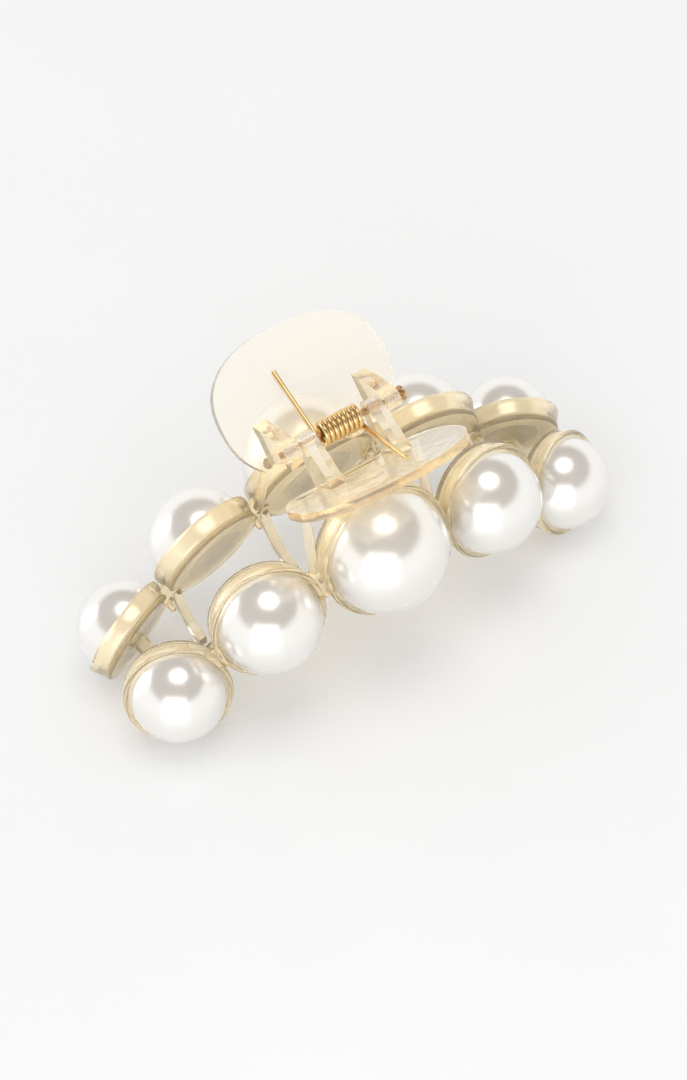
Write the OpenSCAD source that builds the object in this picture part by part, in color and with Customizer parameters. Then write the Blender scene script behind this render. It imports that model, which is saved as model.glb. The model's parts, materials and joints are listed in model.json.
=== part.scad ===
// Pearl claw clip: two clear jaws on one spring-loaded hinge pin, the rear one
// with outer lugs and the front one with inner lugs, each jaw carrying five
// flat-backed beads in shallow cups.
// X runs along the clip, Y points to the rear jaw, Z is up, z = 0 is the table.

/* [Beads] */
// Diameter of the two centre beads
centre_bead_d = 24; // [18:0.5:30]
// Diameter of the four middle beads
middle_bead_d = 20; // [14:0.5:26]
// Diameter of the four end beads
end_bead_d = 18; // [12:0.5:24]
// Where the flat back of a bead is cut, as a share of its radius
bead_back = 0.24; // [0.1:0.01:0.5]

/* [Cups] */
// Wall of each cup
cup_wall = 1.1; // [0.8:0.05:2]
// Free space between a bead and the wall of its cup
cup_gap = 0.15; // [0.05:0.05:0.5]
// Thickness of a cup floor
cup_floor = 1.2; // [0.8:0.1:2]
// Thickness of the adhesive under a bead
glue_t = 0.35; // [0.1:0.05:0.6]
// Upward tilt of the cups in degrees
cup_tilt = 18; // [0:1:40]
// Sideways turn of the middle cups in degrees
middle_turn = 10; // [0:1:30]
// Sideways turn of the end cups in degrees
end_turn = 24; // [0:1:45]

/* [Hinge] */
// Height of the hinge axis above the centre beads
hinge_rise = 22.1; // [16:0.1:30]
// Diameter of the pin shaft
pin_d = 1.2; // [0.8:0.05:2]
// Radial play between the pin and the lugs
pin_play = 0.08; // [0.02:0.01:0.1]
// Width of each lug
lug_w = 3; // [2:0.1:4]
// Radius of the lug eye around the pin
lug_eye_r = 1.9; // [1.6:0.1:3]

/* [Spring] */
// Wire diameter of the torsion spring
wire_d = 1; // [0.6:0.05:1.4]
// Mean diameter of the coil
coil_d = 4; // [3:0.1:5]
// Number of coils
coils = 9; // [5:1:9]
// Length of each spring leg
leg_len = 15.6; // [10:0.1:16]
// Rise of each spring leg above level in degrees
leg_rise = 18; // [5:0.5:20]

/* [Thumb plates] */
// Half width of a thumb plate
plate_half_w = 17.8; // [12:0.1:22]
// Length of a thumb plate from its root to its tip
plate_len = 22.7; // [16:0.1:28]
// Thickness of a thumb plate
plate_t = 1.7; // [1.2:0.1:2.5]
// Outward lean of a thumb plate from the vertical in degrees
plate_lean = 49.8; // [20:0.1:60]
// Height of the bow along a thumb plate
plate_bow = 0.3; // [0.3:0.1:2]

/* [Teeth] */
// Width of a tooth along the clip
tooth_w = 1.5; // [1:0.1:2]
// Shift of the teeth to one side of each junction
tooth_shift = 1.3; // [1:0.1:2]

/* [Hidden] */
$fn = 96;

r0 = centre_bead_d/2;
r1 = middle_bead_d/2;
r2 = end_bead_d/2;

function cup_r(r) = r + cup_gap + cup_wall;
function back_d(r) = r*bead_back;
function cup_depth(r) = back_d(r) + glue_t + cup_floor;

// Lowest point of an end cup below its bead centre, which sets every height
end_low = (cup_depth(r2) - 0.6)*sin(cup_tilt) + (cup_r(r2) - 1.2)*cos(cup_tilt) + 0.6;
zc = 15.05 + end_low;
hinge_z = zc + hinge_rise;

// Bead centres of the rear jaw, right half
c0 = [0, 13.45, zc];
c1 = [r0 + r1 + 2.58, 11.66, zc - 5.08];
c2 = [c1[0] + 19.01, 9.47, zc - 15.05];

bore_r = pin_d/2 + pin_play;
neck_r = bore_r + 0.01;
lug_in = 5.6;
lug_out = lug_in + lug_w + 0.7;
plate_root = [4.9, zc + 13.9];
bow_r = plate_len*plate_len/(8*plate_bow) + plate_bow/2;

// Place children with their local +Z along the cup direction at a bead centre
module aimed(c, turn) {
    translate(c)
        rotate([0, 0, -turn])
            rotate([cup_tilt - 90, 0, 0])
                children();
}

// Solid of revolution of one cup before the bead space is cut out
module cup_body(r) {
    ro = cup_r(r);
    d = cup_depth(r);
    rotate_extrude() {
        translate([0, -d])
            square([ro - 1.2, d + 0.1]);
        polygon([[ro - 1.3, -d], [ro - 1.2, -d], [ro - 0.9, -d + 0.55],
                 [ro, -0.3], [ro, 0.1], [ro - 1.3, 0.1]]);
        translate([ro - 1.2, -d + 0.6])
            circle(r = 0.6);
        translate([ro - cup_wall/2, 0.1])
            circle(r = cup_wall/2);
    }
}

// Bead space of one cup, open towards the outside
module cup_space(r) {
    translate([0, 0, -back_d(r) - glue_t])
        cylinder(h = r + 4, r = r + cup_gap);
}

module bead(r) {
    intersection() {
        sphere(r = r, $fn = 120);
        translate([0, 0, -back_d(r)])
            cylinder(h = 2*r, r = r + 1);
    }
}

module glue_pad(r) {
    translate([0, 0, -back_d(r) - glue_t])
        cylinder(h = glue_t, r = 0.62*r);
}

// Round bar between two points, with its ends buried in what it joins
module bar(p, q, d) {
    v = q - p;
    translate(p)
        rotate([0, acos(v[2]/norm(v)), atan2(v[1], v[0])])
            cylinder(h = norm(v), d = d, $fn = 32);
}

// Rib that ties the root of the thumb plate to the top of the centre cup
module root_rib() {
    translate([-8, 0, zc])
        rotate([90, 0, 90])
            linear_extrude(height = 16)
                polygon([[4.7, 10.2], [6.1, 9.3], [8.7, 11.9], [6.7, 14.6], [5.7, 14.9], [4.5, 13.9]]);
}

// Junction point between two neighbouring cups, set back to their walls
function joint01(s) = [s*13.1, 10.7, zc - 3.4];
function joint12(s) = [s*33.95, 8.8, zc - 10.9];
function joint_end(s) = [s*42.0, 6.2, zc - 17.5];

// Round pad that ties two neighbouring cups together
module web(p, turn, r) {
    aimed(p, turn)
        translate([0, 0, -1.3])
            cylinder(h = 2.8, r = r);
}

// Curved tooth that runs inwards and down from a junction
module tooth(p, shift) {
    rise = 4;
    rr = norm([p[1] + 0.5, rise]);
    translate([p[0] + shift - tooth_w/2, -0.5, p[2] + rise])
        rotate([90, 0, 90])
            linear_extrude(height = tooth_w)
                intersection() {
                    difference() {
                        circle(r = rr + 0.9);
                        translate([-0.4, 0.55])
                            circle(r = rr - 0.6);
                    }
                    polygon([[0, 0], [1.25*rr*cos(14), -1.25*rr*sin(14)],
                             [1.25*rr, -1.4*rr], [0, -1.4*rr]]);
                }
}

// Short spur beside a tooth
module spur(p, shift) {
    translate([p[0] + shift, p[1] + 0.6, p[2]])
        rotate([96, 0, 0])
            cylinder(h = 4.6, r1 = 1.05, r2 = 0.5, $fn = 32);
}

// Block under an end cup whose flat face meets the other jaw when closed
module rest_tooth(p) {
    translate([p[0] - 1.2, 0.03, p[2] - 1.5])
        cube([2.4, p[1] + 1.2, 2.4]);
}

function superx(a) = sign(cos(a))*pow(abs(cos(a)), 2/2.4);
function supery(a) = sign(sin(a))*pow(abs(sin(a)), 2/2.4);

// Flat outline of a thumb plate, root at y = 0 and tip at y = plate_len
module plate_outline() {
    cy = plate_len - 12.7;
    intersection() {
        polygon([for (a = [0:4:356])
            [plate_half_w*superx(a), cy + (a <= 180 ? 12.7 : 14)*supery(a)]]);
        translate([-plate_half_w, -0.6])
            square([2*plate_half_w, plate_len + 1]);
    }
}

// Bowed thumb plate standing on the centre cup
module thumb_plate() {
    translate([0, plate_root[0], plate_root[1]])
        rotate([90 - plate_lean, 0, 0])
            intersection() {
                translate([0, 0, -4])
                    linear_extrude(height = 8)
                        plate_outline();
                translate([-plate_half_w - 1, plate_len/2, plate_bow - bow_r])
                    rotate([90, 0, 90])
                        difference() {
                            cylinder(h = 2*plate_half_w + 2, r = bow_r + plate_t/2, $fn = 240);
                            translate([0, 0, -1])
                                cylinder(h = 2*plate_half_w + 4, r = bow_r - plate_t/2, $fn = 240);
                        }
            }
}

// Lug from the inner face of the plate to the hinge pin, left face at x
module lug(x) {
    a = [11.2, -2.4];
    b = [5.3, -7.9];
    k = [5.75, 0.2];
    ta = atan2(k[1], k[0]) + acos(lug_eye_r/norm(k));
    tb = atan2(b[1], b[0]) - acos(lug_eye_r/norm(b));
    translate([x, 0, hinge_z])
        rotate([90, 0, 90])
            linear_extrude(height = lug_w) {
                circle(r = lug_eye_r, $fn = 48);
                polygon([[0, 0], 0.92*lug_eye_r*[cos(ta), sin(ta)], k, a, b,
                         0.92*lug_eye_r*[cos(tb), sin(tb)]]);
            }
}

// Everything of one clear moulding, drawn as the rear jaw, lugs starting at lug_x
module jaw(lug_x) {
    difference() {
        union() {
            aimed(c0, 0)
                cup_body(r0);
            for (s = [-1, 1]) {
                aimed([s*c1[0], c1[1], c1[2]], s*middle_turn)
                    cup_body(r1);
                aimed([s*c2[0], c2[1], c2[2]], s*end_turn)
                    cup_body(r2);
                web(joint01(s), s*middle_turn/2, 2.7);
                web(joint12(s), s*(middle_turn + end_turn)/2, 2.4);
                tooth(joint01(s), tooth_shift);
                tooth(joint12(s), tooth_shift);
                spur(joint01(s), -tooth_shift);
                spur(joint12(s), -tooth_shift);
                rest_tooth(joint_end(s));
                bar([s*13.1, 9.7, zc - 2.4], [s*12.2, 5.9, zc + 14.7], 1.9);
            }
            thumb_plate();
            root_rib();
            lug(-lug_x - lug_w);
            lug(lug_x);
        }
        aimed(c0, 0)
            cup_space(r0);
        for (s = [-1, 1]) {
            aimed([s*c1[0], c1[1], c1[2]], s*middle_turn)
                cup_space(r1);
            aimed([s*c2[0], c2[1], c2[2]], s*end_turn)
                cup_space(r2);
        }
        translate([-20, 0, hinge_z])
            rotate([0, 90, 0])
                cylinder(h = 40, r = bore_r, $fn = 48);
    }
}

module rear_jaw() {
    color([0.94, 0.88, 0.74])
        jaw(lug_out);
}

module front_jaw() {
    color([0.94, 0.86, 0.70])
        rotate([0, 0, 180])
            jaw(lug_in);
}

// Pin with a slightly thicker neck in one front lug and a domed, cross-slotted head
module hinge_pin() {
    head_x = lug_out + lug_w + 0.9;
    color([0.70, 0.52, 0.30])
        translate([0, 0, hinge_z])
            rotate([0, 90, 0])
                difference() {
                    union() {
                        translate([0, 0, -12.9])
                            cylinder(h = 12.9 + head_x + 0.1, r = pin_d/2, $fn = 48);
                        translate([0, 0, lug_in - 0.1])
                            cylinder(h = lug_w + 0.2, r = neck_r, $fn = 48);
                        intersection() {
                            translate([0, 0, head_x - 1.1])
                                sphere(r = 2.1, $fn = 48);
                            translate([0, 0, head_x])
                                cylinder(h = 2, r = 1.45, $fn = 48);
                        }
                    }
                    for (a = [0, 90])
                        rotate([0, 0, a])
                            translate([-0.8, -0.14, head_x + 0.6])
                                cube([1.6, 0.28, 1]);
                }
}

// Close-wound coil around the pin with one leg on each thumb plate
module torsion_spring() {
    pitch = wire_d*1.03;
    first = -(coils - 1)/2*pitch;
    color([0.80, 0.62, 0.32])
        translate([0, 0, hinge_z]) {
            rotate([0, 90, 0]) {
                for (i = [0:coils - 1])
                    translate([0, 0, first + i*pitch])
                        rotate_extrude(convexity = 4)
                            translate([coil_d/2, 0])
                                circle(d = wire_d, $fn = 24);
                translate([0, 0, first])
                    difference() {
                        cylinder(h = -2*first, r = coil_d/2 + 0.22);
                        translate([0, 0, -1])
                            cylinder(h = 2 - 2*first, r = coil_d/2 - 0.22);
                    }
            }
            for (s = [-1, 1])
                rotate([0, 0, s > 0 ? 180 : 0])
                    translate([first - 0.18, 0, 0])
                        rotate([leg_rise, 0, 0])
                            translate([0, 0, -coil_d/2 - 0.15])
                                rotate([-90, 0, 0])
                                    cylinder(h = leg_len, d = wire_d, $fn = 24);
        }
}

module rear_pearl(c, r, turn) {
    color([0.96, 0.95, 0.93])
        aimed(c, turn)
            bead(r);
}

module rear_pearl_left_end() {
    rear_pearl([-c2[0], c2[1], c2[2]], r2, -end_turn);
}

module rear_pearl_left_middle() {
    rear_pearl([-c1[0], c1[1], c1[2]], r1, -middle_turn);
}

module rear_pearl_centre() {
    rear_pearl(c0, r0, 0);
}

module rear_pearl_right_middle() {
    rear_pearl(c1, r1, middle_turn);
}

module rear_pearl_right_end() {
    rear_pearl(c2, r2, end_turn);
}

module front_pearl_left_end() {
    rotate([0, 0, 180])
        rear_pearl_right_end();
}

module front_pearl_left_middle() {
    rotate([0, 0, 180])
        rear_pearl_right_middle();
}

module front_pearl_centre() {
    rotate([0, 0, 180])
        rear_pearl_centre();
}

module front_pearl_right_middle() {
    rotate([0, 0, 180])
        rear_pearl_left_middle();
}

module front_pearl_right_end() {
    rotate([0, 0, 180])
        rear_pearl_left_end();
}

module rear_glue_pads() {
    color([0.90, 0.88, 0.80]) {
        aimed(c0, 0)
            glue_pad(r0);
        for (s = [-1, 1]) {
            aimed([s*c1[0], c1[1], c1[2]], s*middle_turn)
                glue_pad(r1);
            aimed([s*c2[0], c2[1], c2[2]], s*end_turn)
                glue_pad(r2);
        }
    }
}

module front_glue_pads() {
    rotate([0, 0, 180])
        rear_glue_pads();
}

rear_jaw();
front_jaw();
hinge_pin();
torsion_spring();
rear_pearl_left_end();
rear_pearl_left_middle();
rear_pearl_centre();
rear_pearl_right_middle();
rear_pearl_right_end();
front_pearl_left_end();
front_pearl_left_middle();
front_pearl_centre();
front_pearl_right_middle();
front_pearl_right_end();
rear_glue_pads();
front_glue_pads();
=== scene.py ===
import json
import math
import bpy
from mathutils import Matrix, Vector


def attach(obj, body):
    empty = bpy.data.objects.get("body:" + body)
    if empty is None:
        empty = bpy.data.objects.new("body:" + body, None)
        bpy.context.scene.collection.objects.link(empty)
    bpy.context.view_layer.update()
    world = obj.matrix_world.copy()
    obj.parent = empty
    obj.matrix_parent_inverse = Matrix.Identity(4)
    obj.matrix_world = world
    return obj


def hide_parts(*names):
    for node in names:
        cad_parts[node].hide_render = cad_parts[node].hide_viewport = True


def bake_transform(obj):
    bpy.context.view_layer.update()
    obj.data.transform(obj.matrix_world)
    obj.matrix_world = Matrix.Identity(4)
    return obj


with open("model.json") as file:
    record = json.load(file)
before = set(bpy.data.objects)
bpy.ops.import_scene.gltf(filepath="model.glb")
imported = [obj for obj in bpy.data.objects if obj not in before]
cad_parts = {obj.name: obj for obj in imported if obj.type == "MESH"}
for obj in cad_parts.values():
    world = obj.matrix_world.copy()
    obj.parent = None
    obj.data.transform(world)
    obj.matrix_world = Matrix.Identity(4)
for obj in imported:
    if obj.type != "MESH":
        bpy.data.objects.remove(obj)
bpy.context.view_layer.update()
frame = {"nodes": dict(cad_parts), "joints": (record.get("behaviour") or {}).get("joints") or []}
print("frame loaded")

mm = 0.001
smoothAngle = math.radians(40)
hinge = Vector(frame["joints"][0]["pos_m"])
rearBody = "rear_jaw_body"
frontBody = "front_jaw_body"


# small helpers
def deselectAll():
    if bpy.context.mode != "OBJECT":
        bpy.ops.object.mode_set(mode="OBJECT")
    bpy.ops.object.select_all(action="DESELECT")


def takeNew(name):
    piece = bpy.context.object
    piece.name = name
    piece.data.name = name
    return piece


def only(piece):
    deselectAll()
    piece.select_set(True)
    bpy.context.view_layer.objects.active = piece


def bake(piece):  # puts the piece's place into its mesh
    only(piece)
    bpy.ops.object.transform_apply(location=True, rotation=True, scale=True)


def useModifier(piece, kind, **settings):
    only(piece)
    modifier = piece.modifiers.new(kind.title(), kind)
    for key, value in settings.items():
        setattr(modifier, key, value)
    bpy.ops.object.modifier_apply(modifier=modifier.name)


def wear(piece, material):
    piece.data.materials.clear()
    piece.data.materials.append(material)


# materials
def newMaterial(name):
    material = bpy.data.materials.new(name)
    material.use_nodes = True
    nodes = material.node_tree.nodes
    return material, nodes, material.node_tree.links, nodes["Principled BSDF"]


def makeMottleGroup():
    # soft uneven mask: broad noise with a share of fine noise, both on object coordinates
    fineShare = 0.35
    group = bpy.data.node_groups.new("softMottle", "ShaderNodeTree")
    group.interface.new_socket("Size", in_out="INPUT", socket_type="NodeSocketFloat")
    group.interface.new_socket("Fine Size", in_out="INPUT", socket_type="NodeSocketFloat")
    group.interface.new_socket("Mask", in_out="OUTPUT", socket_type="NodeSocketFloat")
    nodes, links = group.nodes, group.links
    inlet = nodes.new("NodeGroupInput")
    outlet = nodes.new("NodeGroupOutput")
    place = nodes.new("ShaderNodeTexCoord")
    broad = nodes.new("ShaderNodeTexNoise")
    fine = nodes.new("ShaderNodeTexNoise")
    blend = nodes.new("ShaderNodeMath")
    blend.operation = "MULTIPLY_ADD"
    blend.inputs[1].default_value = fineShare
    links.new(place.outputs["Object"], broad.inputs["Vector"])
    links.new(place.outputs["Object"], fine.inputs["Vector"])
    links.new(inlet.outputs["Size"], broad.inputs["Scale"])
    links.new(inlet.outputs["Fine Size"], fine.inputs["Scale"])
    links.new(fine.outputs["Fac"], blend.inputs[0])
    links.new(broad.outputs["Fac"], blend.inputs[2])
    links.new(blend.outputs["Value"], outlet.inputs["Mask"])
    return group


mottleGroup = makeMottleGroup()


def addMottle(nodes, sizes):
    mottle = nodes.new("ShaderNodeGroup")
    mottle.node_tree = mottleGroup
    mottle.inputs["Size"].default_value, mottle.inputs["Fine Size"].default_value = sizes
    return mottle.outputs["Mask"]


def addRamp(nodes, links, source, low, high, start=0.4, end=0.95):
    ramp = nodes.new("ShaderNodeMapRange")
    ramp.inputs["From Min"].default_value = start
    ramp.inputs["From Max"].default_value = end
    ramp.inputs["To Min"].default_value = low
    ramp.inputs["To Max"].default_value = high
    links.new(source, ramp.inputs["Value"])
    return ramp.outputs["Result"]


def addBump(nodes, links, height, shader, bumps):
    bump = nodes.new("ShaderNodeBump")
    bump.inputs["Strength"].default_value, bump.inputs["Distance"].default_value = bumps
    links.new(height, bump.inputs["Height"])
    links.new(bump.outputs["Normal"], shader.inputs["Normal"])


def addMix(nodes, links, mask, low, high):
    mix = nodes.new("ShaderNodeMix")
    mix.data_type = "RGBA"
    for name, colour in (("A", low), ("B", high)):
        if isinstance(colour, tuple):
            mix.inputs[name].default_value = (*colour, 1)
        else:
            links.new(colour, mix.inputs[name])
    links.new(mask, mix.inputs["Factor"])
    return mix.outputs["Result"]


def addFinish(nodes, links, shader, look):
    # uneven colour, roughness and fine bumps, all from one mottle
    mask = addMottle(nodes, look["mottle"])
    links.new(addMix(nodes, links, mask, look["dark"], look["light"]), shader.inputs["Base Color"])
    links.new(addRamp(nodes, links, mask, *look["rough"]), shader.inputs["Roughness"])
    addBump(nodes, links, mask, shader, look["bumps"])


clearPlastic = {
    "mottle": (60, 420),  # broad and fine noise scale
    "cupTint": ((1.0, 0.93, 0.775), (1.0, 0.957, 0.855)),
    "plateTint": ((0.985, 0.982, 0.97), (0.99, 0.99, 0.99)),
    "cupTop": 0.034,  # height where the cup tint starts to fade
    "plateFoot": 0.041,  # height where the plate tint is full
    "clear": 0.86,
    "ior": 1.42,
    "rough": (0.015, 0.06),
    "bumps": (0.25, 0.0004),  # strength and depth
    "amber": (1.0, 0.82, 0.33),
    "amberDensity": 82.0,
    "shadowTint": (1.0, 0.95, 0.83),
}


def addRise(nodes, links):
    # 0 at the cups, 1 at the thumb plates
    place = nodes.new("ShaderNodeTexCoord")
    split = nodes.new("ShaderNodeSeparateXYZ")
    links.new(place.outputs["Object"], split.inputs["Vector"])
    low, high = clearPlastic["cupTop"], clearPlastic["plateFoot"]
    return addRamp(nodes, links, split.outputs["Z"], 0, 1, low, high)


def makeClearPlastic():
    material, nodes, links, shader = newMaterial("clearChampagne")
    mask = addMottle(nodes, clearPlastic["mottle"])
    links.new(addRamp(nodes, links, mask, *clearPlastic["rough"]), shader.inputs["Roughness"])
    cups = addMix(nodes, links, mask, *clearPlastic["cupTint"])
    plates = addMix(nodes, links, mask, *clearPlastic["plateTint"])
    links.new(addMix(nodes, links, addRise(nodes, links), cups, plates), shader.inputs["Base Color"])
    addBump(nodes, links, mask, shader, clearPlastic["bumps"])
    shader.inputs["Transmission Weight"].default_value = clearPlastic["clear"]
    shader.inputs["IOR"].default_value = clearPlastic["ior"]
    inside = nodes.new("ShaderNodeVolumeAbsorption")
    inside.inputs["Color"].default_value = (*clearPlastic["amber"], 1)
    inside.inputs["Density"].default_value = clearPlastic["amberDensity"]
    outlet = nodes["Material Output"]
    links.new(inside.outputs["Volume"], outlet.inputs["Volume"])
    # lamps shine through with a warm tint, so the clip throws a soft amber shadow
    path = nodes.new("ShaderNodeLightPath")
    through = nodes.new("ShaderNodeBsdfTransparent")
    through.inputs["Color"].default_value = (*clearPlastic["shadowTint"], 1)
    mix = nodes.new("ShaderNodeMixShader")
    links.new(path.outputs["Is Shadow Ray"], mix.inputs["Fac"])
    links.new(shader.outputs["BSDF"], mix.inputs[1])
    links.new(through.outputs["BSDF"], mix.inputs[2])
    links.new(mix.outputs["Shader"], outlet.inputs["Surface"])
    return material


pearlCoat = {
    "mottle": (90, 1500),
    "dark": (0.83, 0.805, 0.76),
    "light": (0.90, 0.885, 0.86),
    "rough": (0.20, 0.26),
    "bumps": (0.08, 0.0002),
    "metal": 0.62,
    "coat": 0.3,
    "coatRough": 0.12,
}


def makePearl():
    material, nodes, links, shader = newMaterial("pearlCoat")
    addFinish(nodes, links, shader, pearlCoat)
    shader.inputs["Metallic"].default_value = pearlCoat["metal"]
    shader.inputs["Coat Weight"].default_value = pearlCoat["coat"]
    shader.inputs["Coat Roughness"].default_value = pearlCoat["coatRough"]
    return material


# the flat backs of the beads, which carry no coat
bareBack = {
    "mottle": (250, 2200),
    "dark": (0.93, 0.90, 0.82),
    "light": (0.97, 0.95, 0.90),
    "rough": (0.45, 0.65),
    "bumps": (0.2, 0.0001),
}
# the glue between the beads and the cups
cloudyGlue = {
    "mottle": (300, 2500),
    "dark": (0.93, 0.90, 0.81),
    "light": (0.98, 0.96, 0.90),
    "rough": (0.22, 0.45),
    "bumps": (0.3, 0.0001),
}
# the spring's wire, and the redder, duller pin
goldWire = {
    "mottle": (500, 4000),
    "dark": (0.70, 0.47, 0.20),
    "light": (0.86, 0.64, 0.34),
    "rough": (0.14, 0.26),
    "bumps": (0.15, 0.00003),
}
copperPin = {
    "mottle": (500, 4000),
    "dark": (0.50, 0.33, 0.18),
    "light": (0.66, 0.46, 0.27),
    "rough": (0.18, 0.34),
    "bumps": (0.15, 0.00003),
}


def makePlain(name, look):
    material, nodes, links, shader = newMaterial(name)
    addFinish(nodes, links, shader, look)
    return material


def makeMetal(name, look):
    material, nodes, links, shader = newMaterial(name)
    addFinish(nodes, links, shader, look)
    shader.inputs["Metallic"].default_value = 1.0
    return material


plastic = makeClearPlastic()
pearl = makePearl()
beadBack = makePlain("beadBack", bareBack)
springGold = makeMetal("springGold", goldWire)
pinCopper = makeMetal("pinCopper", copperPin)
glue = makePlain("cloudyGlue", cloudyGlue)
print("materials ready")


# jaws, glue and pin
for name in ("rear_jaw", "front_jaw"):
    wear(frame["nodes"][name], plastic)
for name in ("rear_glue_pads", "front_glue_pads"):
    wear(frame["nodes"][name], glue)
wear(frame["nodes"]["hinge_pin"], pinCopper)
print("jaws, pin and glue dressed")


# pearls
beads = {
    "belowHinge": 22.1,  # from the pin down to the middle of the centre bead, in mm
    "tilt": 18,  # lean of the beads, in degrees
    "backShare": 0.24,  # how far behind a bead's middle its flat back lies, in radii
    "backRound": 0.3,  # rounding of the edge of the flat back, in mm
    "roundSteps": 3,
    "segments": 96,
    "rings": 64,
    "kinds": {  # place in the rear jaw from the centre bead's height in mm, radius, turn in degrees
        "end": ((43.59, 9.47, -15.05), 9.0, 24),
        "middle": ((24.58, 11.66, -5.08), 10.0, 10),
        "centre": ((0.0, 13.45, 0.0), 12.0, 0),
    },
    "row": (("left", "end"), ("left", "middle"), ("", "centre"), ("right", "middle"), ("right", "end")),
}
sideSign = {"left": -1, "": 0, "right": 1}
halfTurned = {"left": "right", "": "", "right": "left"}  # the front jaw is the rear one turned half round
centreHeight = hinge.z / mm - beads["belowHinge"]
backNormal = -0.95  # a face that looks down more than this is the bead's flat back


def makeBead(name, radius):
    deselectAll()
    bpy.ops.mesh.primitive_uv_sphere_add(
        segments=beads["segments"], ring_count=beads["rings"], radius=radius * mm)
    bead = takeNew(name)
    bpy.ops.object.mode_set(mode="EDIT")
    bpy.ops.mesh.select_all(action="SELECT")
    back = -radius * beads["backShare"] * mm
    bpy.ops.mesh.bisect(plane_co=(0, 0, back), plane_no=(0, 0, 1), use_fill=True, clear_inner=True)
    bpy.ops.mesh.bevel(offset=beads["backRound"] * mm, segments=beads["roundSteps"], affect="EDGES")
    bpy.ops.object.mode_set(mode="OBJECT")
    only(bead)
    bpy.ops.object.shade_smooth_by_angle(angle=smoothAngle)
    wear(bead, pearl)
    bead.data.materials.append(beadBack)
    for face in bead.data.polygons:
        if face.normal.z < backNormal:
            face.material_index = 1
    return bead


def placeBead(bead, spot, turn, jawTurn):
    x, y, z = spot
    bead.matrix_world = (
        Matrix.Rotation(math.radians(jawTurn), 4, "Z")
        @ Matrix.Translation(Vector((x, y, z + centreHeight)) * mm)
        @ Matrix.Rotation(math.radians(-turn), 4, "Z")
        @ Matrix.Rotation(math.radians(beads["tilt"] - 90), 4, "X")
    )
    bake(bead)


def pearlNode(row, side, kind):
    named = side if row == "rear" else halfTurned[side]
    return f"{row}_pearl_{named}_{kind}" if named else f"{row}_pearl_{kind}"


def addPearl(row, side, kind, jawTurn, body):
    (x, y, z), radius, turn = beads["kinds"][kind]
    node = pearlNode(row, side, kind)
    bead = makeBead(f"{node}_bead", radius)
    placeBead(bead, (x * sideSign[side], y, z), turn * sideSign[side], jawTurn)
    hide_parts(node)
    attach(bead, body)


for side, kind in beads["row"]:
    addPearl("rear", side, kind, 0, rearBody)
    addPearl("front", side, kind, 180, frontBody)
print("pearls made")


# torsion spring
spring = {  # in mm and degrees
    "wire": 1.0,
    "meanRadius": 2.0,
    "halfLength": 4.12,
    "turns": 8,
    "legLength": 15.6,
    "legRise": 18,
    "tipLength": 0.12,  # the short rounded end past each leg
    "tipShare": 0.72,  # width of that end's face, as a share of the wire's
    "wireSides": 16,
    "stepsPerTurn": 40,
    "stepsPerLeg": 8,
}


def windCoil(rise):
    # a ring of the wire's own width, screwed along the pin; it ends where the legs leave it, below
    startAngle = rise - math.pi / 2
    sweep = -2 * math.pi * spring["turns"] - 2 * rise
    half = spring["halfLength"] * mm
    steps = spring["stepsPerTurn"] * spring["turns"]
    coilStart = Vector((-half, math.cos(startAngle) * spring["meanRadius"] * mm,
                        math.sin(startAngle) * spring["meanRadius"] * mm))
    deselectAll()
    bpy.ops.mesh.primitive_circle_add(
        vertices=spring["wireSides"], radius=spring["wire"] / 2 * mm, fill_type="NOTHING",
        location=coilStart, rotation=(math.pi / 2 + rise, 0, 0))
    wire = takeNew("torsion_spring_wire")
    bake(wire)
    useModifier(
        wire, "SCREW", axis="X", angle=sweep, screw_offset=2 * half, steps=steps, render_steps=steps,
        use_merge_vertices=False, use_smooth_shade=True)
    return wire


def openRim(wire):
    only(wire)
    bpy.ops.object.mode_set(mode="EDIT")
    bpy.ops.mesh.select_all(action="DESELECT")
    bpy.ops.mesh.select_non_manifold()
    bpy.ops.object.mode_set(mode="OBJECT")
    return [v.index for v in wire.data.vertices if v.select]


def selectRim(wire, chosen):
    bpy.ops.object.mode_set(mode="EDIT")
    bpy.ops.mesh.select_all(action="DESELECT")
    bpy.ops.object.mode_set(mode="OBJECT")
    for i in chosen:
        wire.data.vertices[i].select = True
    for e in wire.data.edges:
        e.select = e.vertices[0] in chosen and e.vertices[1] in chosen


def pushRim(step):
    bpy.ops.mesh.extrude_region_move(TRANSFORM_OT_translate={"value": step})


def drawLeg(wire, chosen, direction):
    # the straight leg, in even steps, and its closed tip
    selectRim(wire, chosen)
    bpy.ops.object.mode_set(mode="EDIT")
    bpy.ops.mesh.select_mode(type="EDGE")
    for step in range(spring["stepsPerLeg"]):
        pushRim(direction * (spring["legLength"] / spring["stepsPerLeg"] * mm))
    pushRim(direction * (spring["tipLength"] * mm))
    bpy.ops.transform.resize(value=(spring["tipShare"], spring["tipShare"], spring["tipShare"]))
    bpy.ops.mesh.edge_face_add()
    bpy.ops.object.mode_set(mode="OBJECT")


def makeSpring():
    rise = math.radians(spring["legRise"])
    wire = windCoil(rise)
    rim = openRim(wire)
    for side in (-1, 1):
        chosen = [i for i in rim if wire.data.vertices[i].co.x * side > 0]
        drawLeg(wire, chosen, Vector((0, -side * math.cos(rise), math.sin(rise))))
    bpy.ops.object.mode_set(mode="EDIT")
    bpy.ops.mesh.select_all(action="SELECT")
    bpy.ops.mesh.normals_make_consistent(inside=False)
    bpy.ops.transform.translate(value=hinge)
    bpy.ops.object.mode_set(mode="OBJECT")
    only(wire)
    bpy.ops.object.shade_smooth_by_angle(angle=smoothAngle)
    return wire


springWire = makeSpring()
wear(springWire, springGold)
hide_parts("torsion_spring")
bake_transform(springWire)
print("spring wound")


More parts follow.
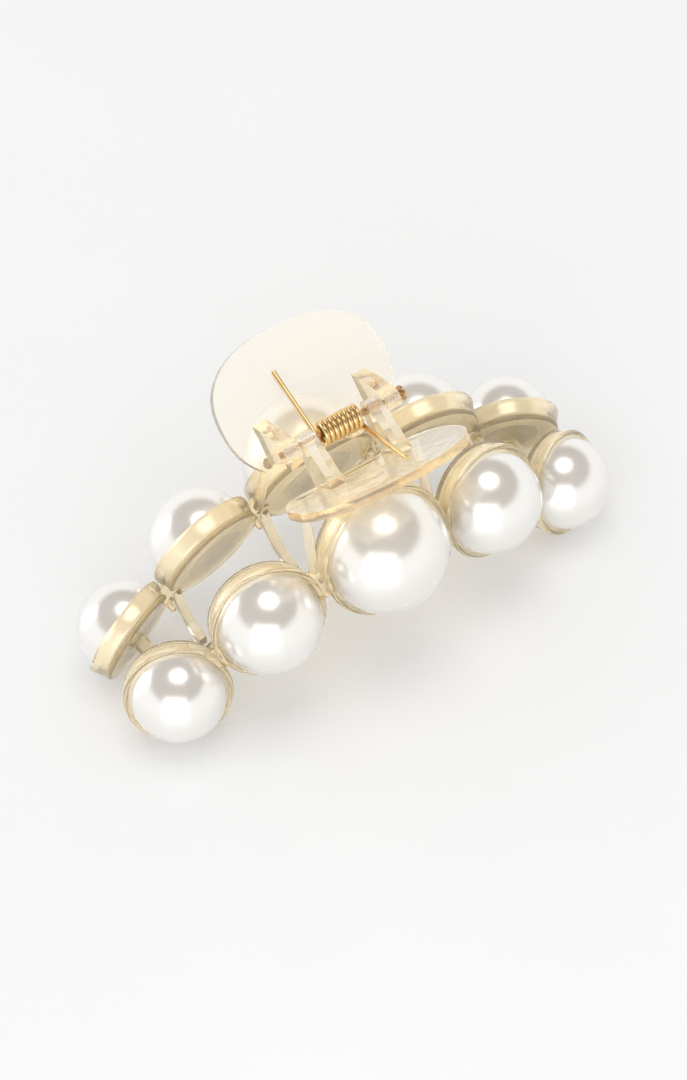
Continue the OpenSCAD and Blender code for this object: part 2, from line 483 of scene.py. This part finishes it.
# floor
floorLook = {
    "size": 6.0,  # metres
    "drop": 0.00002,  # gap under the clip, so that no faces lie in one plane
    "mottle": (9, 40),
    "dark": (0.58, 0.58, 0.58),
    "light": (0.61, 0.61, 0.61),
    "rough": (0.22, 0.34),
    "roughFrom": (0.2, 1.15),  # mottle values where that roughness starts and ends
    "glow": 0.24,
}


def makeFloor():
    deselectAll()
    bpy.ops.mesh.primitive_plane_add(size=floorLook["size"], location=(0, 0, -floorLook["drop"]))
    floor = takeNew("studio_floor")
    material, nodes, links, shader = newMaterial("paleGloss")
    mask = addMottle(nodes, floorLook["mottle"])
    colour = addMix(nodes, links, mask, floorLook["dark"], floorLook["light"])
    rough = addRamp(nodes, links, mask, *floorLook["rough"], *floorLook["roughFrom"])
    links.new(colour, shader.inputs["Base Color"])
    links.new(rough, shader.inputs["Roughness"])
    shader.inputs["Emission Color"].default_value = (1, 1, 1, 1)
    shader.inputs["Emission Strength"].default_value = floorLook["glow"]
    wear(floor, material)


makeFloor()


# lights
lampTarget = Vector((0, 0, 0.03))
lamps = {  # direction from the clip, distance, width and height in metres, power in watts, outline
    "overheadLamp": ((0.073, 0.045, 0.996), 0.9, (0.62, 0.62), 1.9, "ELLIPSE"),
    "frontWindow": ((-0.581, -0.722, 0.376), 1.0, (1.0, 0.80), 3.2, "RECTANGLE"),
    "backLeftWindow": ((-0.633, 0.757, 0.20), 1.0, (0.40, 0.55), 1.2, "RECTANGLE"),
}


def addLamp(name, direction, distance, size, power, outline):
    data = bpy.data.lights.new(name, "AREA")
    data.shape = outline
    data.size, data.size_y = size
    data.energy = power
    lamp = bpy.data.objects.new(name, data)
    bpy.context.scene.collection.objects.link(lamp)
    place = lampTarget + Vector(direction).normalized() * distance
    aim = (lampTarget - place).to_track_quat("-Z", "Y").to_matrix().to_4x4()
    lamp.matrix_world = Matrix.Translation(place) @ aim
    lamp.visible_camera = False


for name, setting in lamps.items():
    addLamp(name, *setting)


room = {
    "wall": (1.05, 1.05, 1.05),
    "ceiling": (0.36, 0.31, 0.26),
    "even": (0.86, 0.86, 0.86),  # what lights the clip and shows through it
    "seen": (0.87, 0.87, 0.87),  # what the camera sees behind the floor
    "wallTop": 0.38,
    "ceilingEdge": 0.56,
}


def makeWorld():
    # an even pale room; reflections alone see a warmer, darker ceiling, the soft patch on each pearl
    world = bpy.data.worlds.new("studio")
    bpy.context.scene.world = world
    world.use_nodes = True
    nodes, links = world.node_tree.nodes, world.node_tree.links
    place = nodes.new("ShaderNodeTexCoord")
    split = nodes.new("ShaderNodeSeparateXYZ")
    links.new(place.outputs["Generated"], split.inputs["Vector"])
    rise = nodes.new("ShaderNodeMapRange")
    rise.interpolation_type = "SMOOTHSTEP"
    rise.inputs["From Min"].default_value = room["wallTop"]
    rise.inputs["From Max"].default_value = room["ceilingEdge"]
    links.new(split.outputs["Z"], rise.inputs["Value"])
    mirrored = addMix(nodes, links, rise.outputs["Result"], room["wall"], room["ceiling"])
    path = nodes.new("ShaderNodeLightPath")
    back = nodes["Background"]
    glow = addMix(nodes, links, path.outputs["Is Glossy Ray"], room["even"], mirrored)
    links.new(glow, back.inputs["Color"])
    seen = nodes.new("ShaderNodeBackground")
    seen.inputs["Color"].default_value = (*room["seen"], 1)
    mix = nodes.new("ShaderNodeMixShader")
    links.new(path.outputs["Is Camera Ray"], mix.inputs["Fac"])
    links.new(back.outputs["Background"], mix.inputs[1])
    links.new(seen.outputs["Background"], mix.inputs[2])
    links.new(mix.outputs["Shader"], nodes["World Output"].inputs["Surface"])


makeWorld()
bpy.context.scene.view_settings.view_transform = "Standard"
print("stage lit")


# camera
view = {
    "azimuth": -31.0776,
    "elevation": 50.9717,
    "roll": -3.3528,
    "distance": 0.63181,  # metres from the middle of the centre beads' height
    "right": -0.00015,
    "up": -0.006873,
    "lens": 113.478,
    "sensorHeight": 36,
    "nearest": 0.01,
}


def makeCamera():
    az, el, roll = (math.radians(view[k]) for k in ("azimuth", "elevation", "roll"))
    toward = Vector((math.sin(az) * math.cos(el), -math.cos(az) * math.cos(el), math.sin(el)))
    level = Vector((math.cos(az), math.sin(az), 0))
    upward = toward.cross(level)
    right = level * math.cos(roll) + upward * math.sin(roll)
    up = upward * math.cos(roll) - level * math.sin(roll)
    place = (Vector((0, 0, centreHeight * mm)) + toward * view["distance"]
             + right * view["right"] + up * view["up"])
    data = bpy.data.cameras.new("camera")
    data.sensor_fit = "VERTICAL"
    data.sensor_height = view["sensorHeight"]
    data.lens = view["lens"]
    data.clip_start = view["nearest"]
    camera = bpy.data.objects.new("camera", data)
    bpy.context.scene.collection.objects.link(camera)
    camera.matrix_world = Matrix.Translation(place) @ Matrix((right, up, toward)).transposed().to_4x4()
    bpy.context.scene.camera = camera


makeCamera()
print("camera set")

bpy.context.view_layer.update()
